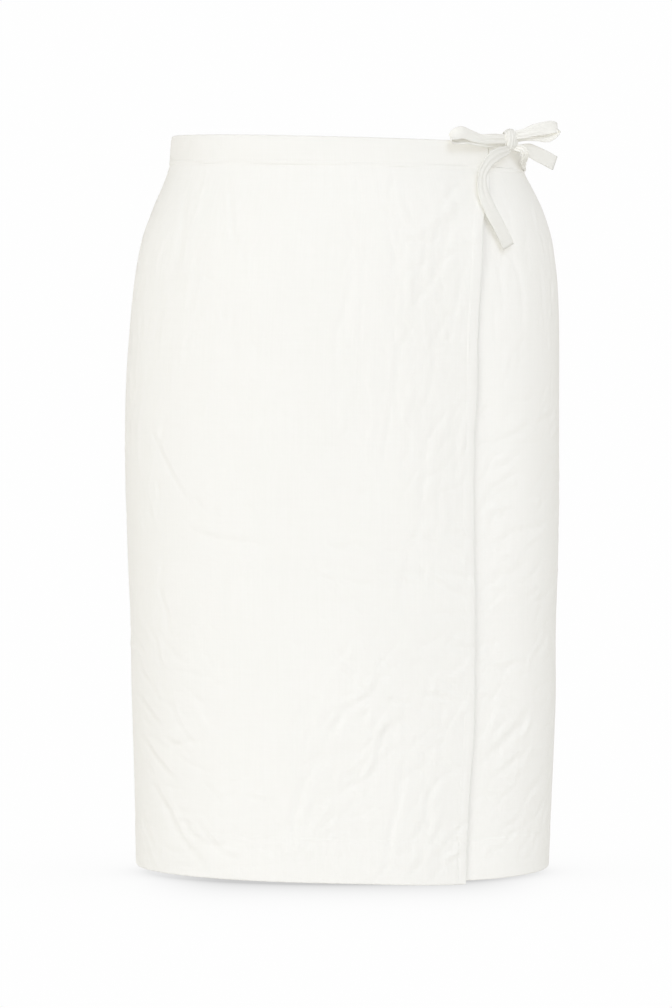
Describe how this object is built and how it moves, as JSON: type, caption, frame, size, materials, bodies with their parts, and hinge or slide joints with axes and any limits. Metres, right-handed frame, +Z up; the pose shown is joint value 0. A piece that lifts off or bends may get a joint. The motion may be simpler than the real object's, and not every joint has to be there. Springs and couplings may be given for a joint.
{
  "type": "wrap skirt",
  "caption": "Hollow knee-length white cotton wrap skirt: overlapping front, narrow waistband and a side bow tie.",
  "frame": {"origin": "centre of the waist opening, level with the top edge of the waistband", "axes": "+Z up out of the waist, -Y towards someone facing the skirt, +X to their right, where the wrap's free edge and the bow are"},
  "size_m": [0.381, 0.2537, 0.6585],
  "materials": {
    "skirt_cloth": "matt white cotton plain weave, lightly creased",
    "waistband_cloth": "matt white cotton, folded double and edge-stitched",
    "tie_cloth": "matt white cotton, folded and pressed narrow"
  },
  "bodies": {
    "root": {"front_wrap": "skirt_cloth", "front_under": "skirt_cloth", "back": "skirt_cloth", "waistband_front": "waistband_cloth", "waistband_under": "waistband_cloth", "waistband_back": "waistband_cloth", "tie_front": "tie_cloth", "tie_side": "tie_cloth", "bow_knot": "tie_cloth", "bow_loop_left": "tie_cloth", "bow_loop_right": "tie_cloth", "bow_tail_left": "tie_cloth", "bow_tail_right": "tie_cloth"}
  },
  "joints": []
}
